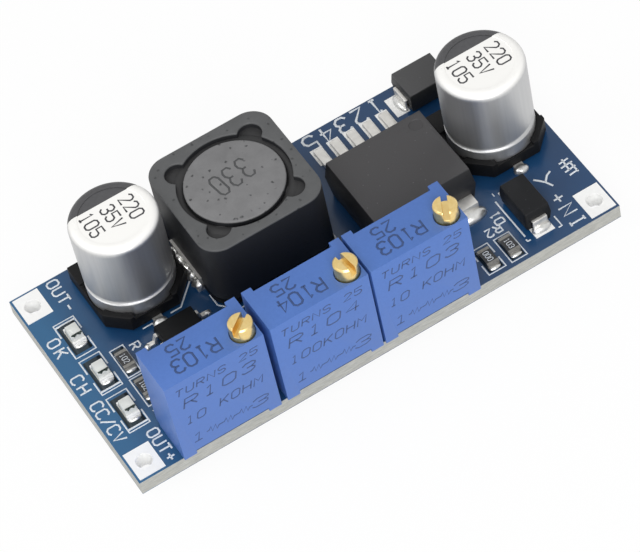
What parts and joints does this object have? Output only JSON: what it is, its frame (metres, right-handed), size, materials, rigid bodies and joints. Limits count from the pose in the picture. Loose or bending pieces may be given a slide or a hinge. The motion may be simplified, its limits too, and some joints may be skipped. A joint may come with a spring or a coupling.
{
  "type": "buck converter module",
  "caption": "Small board that steps a voltage down: regulator, shielded inductor, can capacitors, lamps and multi-turn trimmers whose screws drive worm wheels.",
  "frame": {"origin": "centre of the board's underside", "axes": "+X along the board from the output end to the input end, +Y from the trimmer edge to the back edge, +Z out of the component side"},
  "size_m": [0.0482, 0.0239, 0.0141],
  "materials": {
    "solder_mask": "glossy solder mask over glass-fibre laminate",
    "tinned_copper": "hot-air levelled tin",
    "solder": "bright reflowed solder",
    "can_aluminium": "satin drawn aluminium",
    "base_plastic": "matt black moulding",
    "tinned_lead": "matt tin plating",
    "ferrite": "sintered ferrite, matt",
    "enamelled_wire": "enamelled copper",
    "moulding_compound": "matt moulded epoxy",
    "lamp_base": "white moulding",
    "lamp_lens": "clear epoxy",
    "resistor_glaze": "black glaze",
    "trimmer_plastic": "satin blue moulding",
    "screw_brass": "turned brass",
    "seal_rubber": "matt rubber",
    "rotor_plastic": "matt moulding",
    "spring_metal": "sprung bronze",
    "element_ceramic": "fired alumina",
    "potting_resin": "cast resin"
  },
  "bodies": {
    "module": {"board": "solder_mask", "wire_pads": "tinned_copper", "pin_pads": "tinned_copper", "pin_solder": "solder", "output_capacitor_can": "can_aluminium", "output_capacitor_base": "base_plastic", "output_capacitor_leads": "tinned_lead", "input_capacitor_can": "can_aluminium", "input_capacitor_base": "base_plastic", "input_capacitor_leads": "tinned_lead", "inductor_shield": "ferrite", "inductor_drum": "ferrite", "inductor_winding": "enamelled_wire", "inductor_base": "base_plastic", "inductor_terminals": "tinned_lead", "regulator_body": "moulding_compound", "regulator_tab": "tinned_lead", "regulator_leads": "tinned_lead", "catch_rectifier_body": "moulding_compound", "catch_rectifier_leads": "tinned_lead", "input_rectifier_body": "moulding_compound", "input_rectifier_leads": "tinned_lead", "amplifier_body": "moulding_compound", "amplifier_leads": "tinned_lead", "lamp_bases": "lamp_base", "lamp_lenses": "lamp_lens", "lamp_terminals": "tinned_lead", "chip_resistor_bodies": "resistor_glaze", "chip_resistor_ends": "tinned_lead", "solder_joints": "solder", "current_trimmer_housing": "trimmer_plastic", "current_trimmer_seal": "seal_rubber", "current_trimmer_element": "element_ceramic", "current_trimmer_pins": "tinned_lead", "current_trimmer_potting": "potting_resin", "charge_trimmer_housing": "trimmer_plastic", "charge_trimmer_seal": "seal_rubber", "charge_trimmer_element": "element_ceramic", "charge_trimmer_pins": "tinned_lead", "charge_trimmer_potting": "potting_resin", "voltage_trimmer_housing": "trimmer_plastic", "voltage_trimmer_seal": "seal_rubber", "voltage_trimmer_element": "element_ceramic", "voltage_trimmer_pins": "tinned_lead", "voltage_trimmer_potting": "potting_resin"},
    "current_screw": {"current_trimmer_screw": "screw_brass"},
    "current_rotor": {"current_trimmer_rotor": "rotor_plastic", "current_trimmer_wiper": "spring_metal"},
    "charge_screw": {"charge_trimmer_screw": "screw_brass"},
    "charge_rotor": {"charge_trimmer_rotor": "rotor_plastic", "charge_trimmer_wiper": "spring_metal"},
    "voltage_screw": {"voltage_trimmer_screw": "screw_brass"},
    "voltage_rotor": {"voltage_trimmer_rotor": "rotor_plastic", "voltage_trimmer_wiper": "spring_metal"}
  },
  "joints": [
    {"name": "current_screw_turn", "type": "hinge", "parent": "module", "child": "current_screw", "pos_m": [-0.01154, -0.01083, 0.01163], "axis": [0, 0, 1], "range_deg": [-4500, 4500]},
    {"name": "current_rotor_turn", "type": "hinge", "parent": "module", "child": "current_rotor", "pos_m": [-0.01534, -0.01083, 0.00639], "axis": [0, 1, 0], "range_deg": [-150, 150]},
    {"name": "charge_screw_turn", "type": "hinge", "parent": "module", "child": "charge_screw", "pos_m": [-0.00137, -0.01083, 0.01163], "axis": [0, 0, 1], "range_deg": [-4500, 4500]},
    {"name": "charge_rotor_turn", "type": "hinge", "parent": "module", "child": "charge_rotor", "pos_m": [-0.00517, -0.01083, 0.00639], "axis": [0, 1, 0], "range_deg": [-150, 150]},
    {"name": "voltage_screw_turn", "type": "hinge", "parent": "module", "child": "voltage_screw", "pos_m": [0.00843, -0.01083, 0.01163], "axis": [0, 0, 1], "range_deg": [-4500, 4500]},
    {"name": "voltage_rotor_turn", "type": "hinge", "parent": "module", "child": "voltage_rotor", "pos_m": [0.00463, -0.01083, 0.00639], "axis": [0, 1, 0], "range_deg": [-150, 150]}
  ],
  "couplings": [
    {"joint": "current_rotor_turn", "follows": "current_screw_turn", "ratio": 0.033333},
    {"joint": "charge_rotor_turn", "follows": "charge_screw_turn", "ratio": 0.033333},
    {"joint": "voltage_rotor_turn", "follows": "voltage_screw_turn", "ratio": 0.033333}
  ]
}
